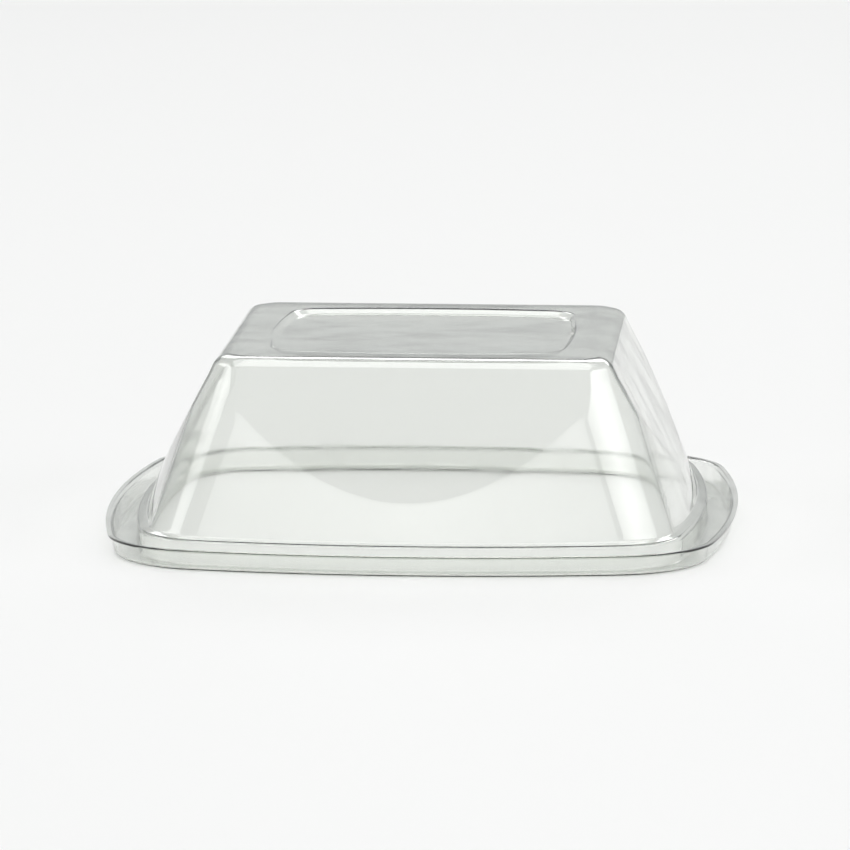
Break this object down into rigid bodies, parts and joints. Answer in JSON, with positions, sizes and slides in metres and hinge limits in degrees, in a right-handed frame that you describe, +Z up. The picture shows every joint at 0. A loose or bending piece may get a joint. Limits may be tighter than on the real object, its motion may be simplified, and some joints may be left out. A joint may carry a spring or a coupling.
{
  "type": "square plastic bowl",
  "caption": "Clear thermoformed square bowl with rounded corners, bowed sides with flat arched panels, a turned rim and a stacking shoulder, standing upside down on its rim.",
  "frame": {"origin": "middle of the rim plane, which is the surface that the upside-down bowl stands on", "axes": "+Z up, from the rim to the base; +X and +Y square to two of the sides; the mouth opens towards -Z"},
  "size_m": [0.14, 0.14, 0.043],
  "materials": {
    "clear_sheet": "clear, glossy, very slightly grey-green"
  },
  "bodies": {
    "root": {"bowl": "clear_sheet"}
  },
  "joints": []
}
